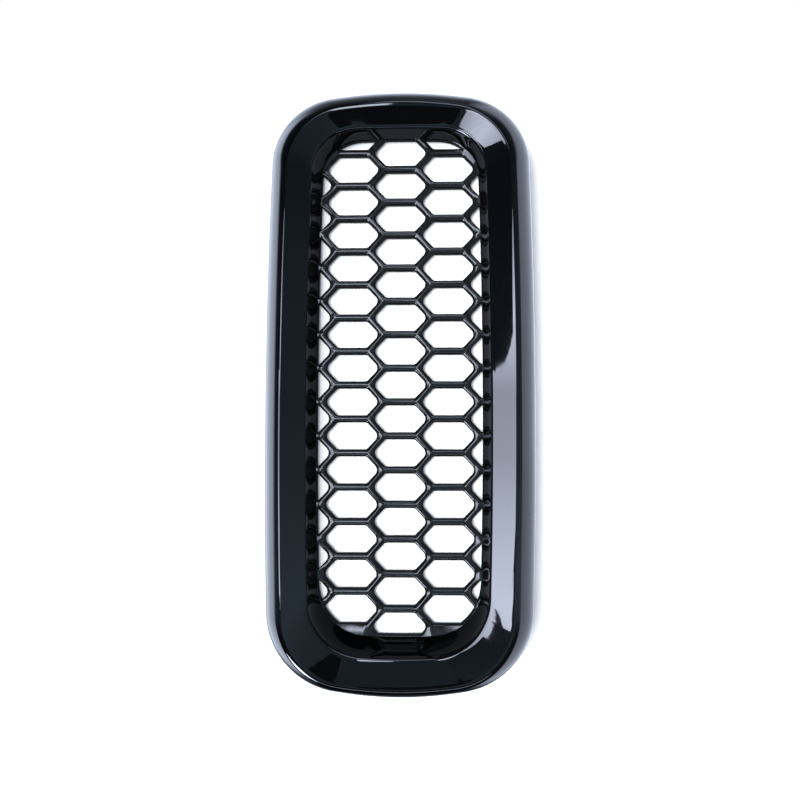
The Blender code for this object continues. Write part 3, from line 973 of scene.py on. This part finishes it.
def black_lacquer():
    """Piano black: a deep, slightly blue black under a clear, barely rippled gloss with a few specks."""
    surface = Surface("black_lacquer")
    surface.tones(surface.noise(70), (0.0003, 0.0004, 0.0006), (0.0006, 0.0008, 0.0012))
    polish = surface.ranged(surface.noise(160, 5), 0.012, 0.035)
    specks = surface.ranged(surface.cells(700), 0.25, 0.0, 0.02, 0.05)
    surface.drive("Roughness", wired(surface.tree, "Math", {0: polish, 1: specks}, operation="MAXIMUM")[0])
    surface.bump(surface.noise(240, 2), 0.0015 * MM)
    surface.bump(surface.noise(60, 1), 0.0012 * MM)
    return surface.material


def bare_plastic():
    """The ring's unpainted back: fine spark-eroded grain and faint flow marks."""
    surface = Surface("bare_black_plastic")
    surface.tones(surface.noise(90, 4), (0.011, 0.011, 0.012), (0.019, 0.019, 0.02))
    flow = surface.noise(18, 5, surface.stretched((4, 1, 1)))
    surface.drive("Roughness", surface.ranged(flow, 0.36, 0.55))
    surface.bump(surface.noise(2600, 3), 0.012 * MM, 0.8)
    surface.bump(flow, 0.02 * MM, 0.4)
    return surface.material


def mesh_plastic():
    """Moulded glossy black, a little warm and softer than the lacquer."""
    surface = Surface("mesh_black_plastic")
    surface.tones(surface.noise(220, 4), (0.005, 0.0047, 0.0044), (0.008, 0.0075, 0.007))
    surface.drive("Roughness", surface.ranged(surface.noise(500, 5), 0.12, 0.18))
    surface.bump(surface.noise(900, 3), 0.004 * MM)
    surface.bump(surface.noise(120, 2), 0.005 * MM)
    return surface.material


def zinc_steel():
    """Bright zinc plate: cool and warm patches, and fine pits."""
    surface = Surface("zinc_steel", metallic=1.0)
    surface.tones(surface.noise(900, 4), (0.5, 0.53, 0.56), (0.7, 0.68, 0.6))
    surface.drive("Roughness", surface.ranged(surface.noise(1800, 5), 0.2, 0.42))
    surface.bump(surface.noise(5000, 2), 0.004 * MM)
    return surface.material


def spring_steel():
    """Dark zinc flake on spring steel: streaked, and rubbed bright on its edges."""
    surface = Surface("spring_steel", metallic=1.0)
    streaks = surface.noise(500, 4, surface.stretched((6, 0.6, 6)))
    coat = surface.colour(streaks, (0.1, 0.105, 0.115), (0.2, 0.205, 0.215))
    bright = surface.colour(surface.noise(2500, 3), (0.4, 0.4, 0.41), (0.6, 0.6, 0.6))
    edges = wired(surface.tree, "NewGeometry")["Pointiness"]
    rubbed = surface.ranged(edges, 0, 0.8, 0.52, 0.58)
    surface.drive("Base Color", combined(surface.tree, coat, bright, share=rubbed))
    surface.drive("Roughness", surface.ranged(streaks, 0.3, 0.5))
    surface.bump(surface.noise(4500, 3), 0.006 * MM, 0.7)
    return surface.material


def foam_tape():
    """Closed-cell foam: matt, with fine open pores."""
    surface = Surface("foam_tape")
    surface.set("Roughness", 0.95)
    pores = surface.cells(3600)
    surface.tones(pores, (0.008, 0.008, 0.009), (0.034, 0.034, 0.036), 0.05, 0.5)
    surface.bump(pores, 0.07 * MM)
    surface.bump(surface.noise(700, 3), 0.06 * MM, 0.6)
    return surface.material


# ---- camera ----

CAMERA_PLACE = Vector((15.3, -267.9, -15.9)) * MM
CAMERA_PITCH = 4.62  # degrees up from level
CAMERA_YAW = 1.75  # degrees towards -X
CAMERA_LENS = 40.5
CAMERA_SENSOR = 36
CAMERA_SHIFT = (-0.03, -0.04)
CAMERA_REACH = (0.01, 20)  # the nearest and farthest that it sees, in metres


def make_camera():
    pitch, yaw = math.radians(CAMERA_PITCH), math.radians(CAMERA_YAW)
    data = bpy.data.cameras.new("camera")
    data.lens = CAMERA_LENS
    data.sensor_width = CAMERA_SENSOR
    data.shift_x, data.shift_y = CAMERA_SHIFT
    data.clip_start, data.clip_end = CAMERA_REACH
    camera = added("camera", data)
    camera.location = CAMERA_PLACE
    camera.rotation_euler = (math.pi / 2 + pitch, 0, yaw)
    bpy.context.scene.camera = camera


# ---- light ----

# A light card's outline is a row of (azimuth, lowest, highest elevation) columns in degrees, seen from
# the insert: azimuth 0 is towards the camera's side and 90 to the right.
SOFTBOX_COLUMNS = [
    (-34, -13, 4.6), (-20, -13, 4.6), (-17.6, -13.8, 4.4), (-16.3, -13.8, 5.2), (-15.8, -13.8, 6.5),
    (-15.4, -13.6, 8.5), (-14.8, -13.2, 10.5), (-13.6, -12.9, 12.8), (-12.9, -12.4, 13.6),
    (-12.7, -9.3, 13.9), (-11.4, -8.3, 15.2), (-10.2, -7.3, 16), (-10, -7, 16), (-9.6, 2.4, 16.3),
    (-7.5, 2.7, 16.8), (-5.7, 3.1, 17), (-5.2, 3.6, 17), (-3.5, 6, 17),
]
NOTCH_COLUMNS = [(-15.7, -11.8, -11.6), (-14.4, -11.3, -10.7), (-13.3, -10.7, -9.7), (-12.6, -10.5, -9)]
LOW_LEFT_COLUMNS = [(-80, -50, -36), (-35, -50, -36)]
OVERHEAD_COLUMNS = [(-9, 38, 62), (2, 34, 62), (8, 27, 62), (14, 24, 60), (24, 24, 55)]
STRIP_COLUMNS = [(-30, -46, -40), (30, -46, -40)]
SHADE_COLUMNS = [(-4.6, -3.2, -0.9), (-3.9, -3.2, 0.2), (-3.3, -3.2, 1.2), (0.6, -3.2, 1.2)]
SOFTBOX_STRENGTH = [(-14, 15), (-9, 12.5), (-2, 7.8), (3, 7), (6, 11), (9, 13), (14, 8)]
# Name, outline, distance in metres, and strength: one number, or (elevation, strength) stops.
CARDS = [
    ("softbox_left", SOFTBOX_COLUMNS, 1.0, SOFTBOX_STRENGTH),
    ("softbox_notch", NOTCH_COLUMNS, 0.99, 0.2),
    ("softbox_low_left", LOW_LEFT_COLUMNS, 3.0, 30.0),
    ("softbox_overhead", OVERHEAD_COLUMNS, 3.0, 3.0),
    ("strip_low", STRIP_COLUMNS, 3.0, 5.0),
    ("camera_shade", SHADE_COLUMNS, 3.0, 0.0),
]
SOFTBOX_COLOUR = (0.9, 0.98, 1.2, 1)
# Name, azimuth, elevation, strength, and how many degrees wide the light is.
SUNS = [("key_sun", -14, 0, 3.7, 24), ("rear_sun", 160, 35, 3.0, 40)]


def direction(azimuth, elevation):
    """From the insert outwards."""
    a, e = math.radians(azimuth), math.radians(elevation)
    return Vector((math.sin(a) * math.cos(e), -math.cos(a) * math.cos(e), math.sin(e)))


def glowing(name, strength):
    """A black surface that glows in the softboxes' colour."""
    surface = Surface(name)
    surface.set("Base Color", (0, 0, 0, 1))
    surface.set("Emission Color", SOFTBOX_COLOUR)
    surface.set("Emission Strength", strength)
    return surface


def light_card(name, columns, distance, strength):
    """A glowing sheet that only reflections see."""
    points = [direction(azimuth, end) * distance for azimuth, *ends in columns for end in ends]
    faces = [(i, i + 2, i + 3, i + 1) for i in range(0, len(points) - 2, 2)]
    if isinstance(strength, list):
        surface = glowing(name, 0)
        position = wired(surface.tree, "NewGeometry")["Position"]
        upwards = wired(surface.tree, "SeparateXYZ", {0: position})["Z"]
        height = remapped(surface.tree, upwards, -distance, distance)
        stops = [((math.sin(math.radians(elevation)) + 1) / 2, value) for elevation, value in strength]
        surface.drive("Emission Strength", ramp(surface.tree, height, stops))
    else:
        surface = glowing(name, strength)
    staged(name, points, faces, surface, ("camera", "diffuse", "shadow"))


def staged(name, points, faces, surface, hidden_from):
    """Something that isn't part of the insert, hidden from some kinds of ray."""
    mesh = bpy.data.meshes.new(name)
    mesh.from_pydata(points, [], faces)
    mesh.materials.append(surface.material)
    piece = added(name, mesh)
    for ray in hidden_from:
        setattr(piece, "visible_" + ray, False)


def make_lights():
    """The cards, which only reflections see, and two soft suns, which reflections don't see."""
    for card in CARDS:
        light_card(*card)
    for name, azimuth, elevation, strength, width in SUNS:
        data = bpy.data.lights.new(name, "SUN")
        data.energy = strength
        data.angle = math.radians(width)
        sun = added(name, data)
        sun.rotation_euler = direction(azimuth, elevation).to_track_quat("Z", "Y").to_euler()
        sun.visible_glossy = False


# ---- stage ----

FLOOR_DROP = 0.25  # metres from the insert down to the floor
FLOOR_REACH = 6
# Half width, lowest and highest Z of each upright sheet, and how far it stands behind the insert, behind
# the mesh and in front of the board.
BOARD_SIZE = (75 * MM, -125 * MM, 125 * MM)
BOARD_GAP = 0.8 * MM
WINDOW_SIZE = (25.2 * MM, -73.5 * MM, 76.8 * MM)
WINDOW_GAP = 0.7 * MM
FLAG_SIZE = (27 * MM, -76 * MM, 77 * MM)
FLAG_GAP = 0.3 * MM
FLOOR_GLOW, BOARD_GLOW, WINDOW_GLOW, FLAG_GLOW = 0.8, 0.3, 0.25, 0.12


def paper(name, glow, one_sided=False):
    """Pale matt paper with a faint mottle and a little light of its own, clear from behind if one-sided."""
    surface = Surface(name)
    surface.tones(surface.noise(30, 4), (0.86, 0.87, 0.885), (0.9, 0.905, 0.915))
    surface.set("Roughness", 1.0)
    surface.set("Specular IOR Level", 0.0)
    surface.set("Emission Color", (0.96, 0.97, 1, 1))
    surface.set("Emission Strength", glow)
    if one_sided:
        tree = surface.tree
        behind = wired(tree, "NewGeometry")["Backfacing"]
        clear = wired(tree, "BsdfTransparent")["BSDF"]
        mix = wired(tree, "MixShader", {0: behind, 1: surface.shader.outputs["BSDF"], 2: clear})
        tree.links.new(mix["Shader"], tree.nodes["Material Output"].inputs["Surface"])
    return surface


def stage_sheet(name, corners, surface, hidden_from=("glossy", "diffuse", "shadow")):
    staged(name, corners, [range(len(corners))], surface, hidden_from)


def upright(size, y):
    half_width, low, high = size
    return [(-half_width, y, low), (half_width, y, low), (half_width, y, high), (-half_width, y, high)]


def make_stage():
    """A pale floor well below the insert, a small pale board just behind it, a paper behind its mesh, and
    a near-black flag that only reflections see: a painted dark reflection that keeps the room behind out of
    the inner wall's reflections, with a faint glow that paints dim reflections there."""
    floor_z = CAD_BOX[0].z - FLOOR_DROP
    floor = [(x * FLOOR_REACH, y * FLOOR_REACH, floor_z) for x, y in ((-1, -1), (1, -1), (1, 1), (-1, 1))]
    stage_sheet("floor", floor, paper("floor_paper", FLOOR_GLOW))
    board_y = CAD_BOX[1].y + BOARD_GAP
    stage_sheet("board", upright(BOARD_SIZE, board_y), paper("board_paper", BOARD_GLOW, one_sided=True))
    window = upright(WINDOW_SIZE, MESH_REAR_Y + WINDOW_GAP)
    stage_sheet("window_board", window, paper("window_paper", WINDOW_GLOW, one_sided=True))
    # The flag is seen only in reflections: it paints a dark reflection on the inner wall, and its faint glow
    # paints dim reflections there.
    black = glowing("flag_black", FLAG_GLOW)
    black.set("Specular IOR Level", 0.0)
    flag = upright(FLAG_SIZE, board_y - FLAG_GAP)
    stage_sheet("flag", flag, black, ("camera", "diffuse", "shadow", "transmission"))


# Brightness of the room: 0 straight down, 0.5 level and 1 straight up, and for the sides 0 straight to the
# left and 1 straight to the right.
FRONT_LIGHT = [
    (0, 0.05), (0.3, 0.1), (0.38, 0.35), (0.42, 0.67), (0.47, 0.45), (0.52, 0.33), (0.58, 0.3), (0.62, 0.21),
    (0.7, 0.12), (0.9, 0.1), (1, 0.35),
]
BACK_LIGHT = [
    (0.1, 0.02), (0.25, 0.09), (0.4, 0.8), (0.5, 1.4), (0.8, 1.4), (0.86, 1.2), (0.9, 0.48), (0.94, 0.15),
    (1, 0.07),
]
SIDE_LIGHT = [(0, 2.3), (0.2, 2.3), (0.3, 0), (0.58, 0), (0.66, 1.25), (1, 1.25)]
FRONT_TINT = (0.72, 1, 1.3, 1)
BACK_TINT = (0.89, 1, 1.23, 1)
LEFT_FADE = (-0.2, -0.02)  # the X of a direction over which the front dims to the left
LEFT_LEVELS = [(0, 0.45), (1, 1)]
BACK_FADE = (0.26, 0.34)  # the Y of a direction over which the front gives way to the back
BACK_SKEW = 0.08


def make_world():
    """A room that the camera sees as white, and reflections as dim in front, bright behind and dark overhead
    and underneath."""
    world = bpy.data.worlds.new("studio")
    bpy.context.scene.world = world
    world.use_nodes = True
    tree = world.node_tree
    way = wired(tree, "SeparateXYZ", {0: wired(tree, "TexCoord")["Generated"]})
    height = remapped(tree, way["Z"], -1, 1)
    sideways = remapped(tree, way["X"], -1, 1)
    leftwards = remapped(tree, way["X"], *LEFT_FADE)
    front = combined(tree, ramp(tree, height, FRONT_LIGHT), ramp(tree, leftwards, LEFT_LEVELS), "MULTIPLY")
    front = combined(tree, front, FRONT_TINT, "MULTIPLY")
    back = combined(tree, ramp(tree, height, BACK_LIGHT), ramp(tree, sideways, SIDE_LIGHT), "LIGHTEN")
    back = combined(tree, back, BACK_TINT, "MULTIPLY")
    backwards = wired(tree, "Math", {0: way["X"], 1: BACK_SKEW, 2: way["Y"]}, operation="MULTIPLY_ADD")[0]
    share = remapped(tree, backwards, *BACK_FADE)
    room = combined(tree, front, back, share=share)
    to_camera = wired(tree, "LightPath")["Is Camera Ray"]
    seen = combined(tree, room, (1, 1, 1, 1), share=to_camera)
    tree.links.new(seen, tree.nodes["Background"].inputs["Color"])


def main():
    lacquer, bare, zinc = black_lacquer(), bare_plastic(), zinc_steel()
    steel, foam = spring_steel(), foam_tape()
    make_ring(lacquer, bare)
    make_honeycomb(mesh_plastic())
    for name in SCREWS:
        make_boss(name.replace("mesh_screw", "boss"), screw_place(name), bare)
        make_screw(name, zinc)
    for name in CLIPS:
        make_blade(name.replace("spring_clip", "blade"), name, bare)
        make_clip(name, name.replace("spring_clip", "clip"), steel)
    for name in TAPES:
        make_tape(name, foam)
    make_camera()
    make_stage()
    make_lights()
    make_world()
    bpy.context.scene.view_settings.view_transform = "Standard"


main()
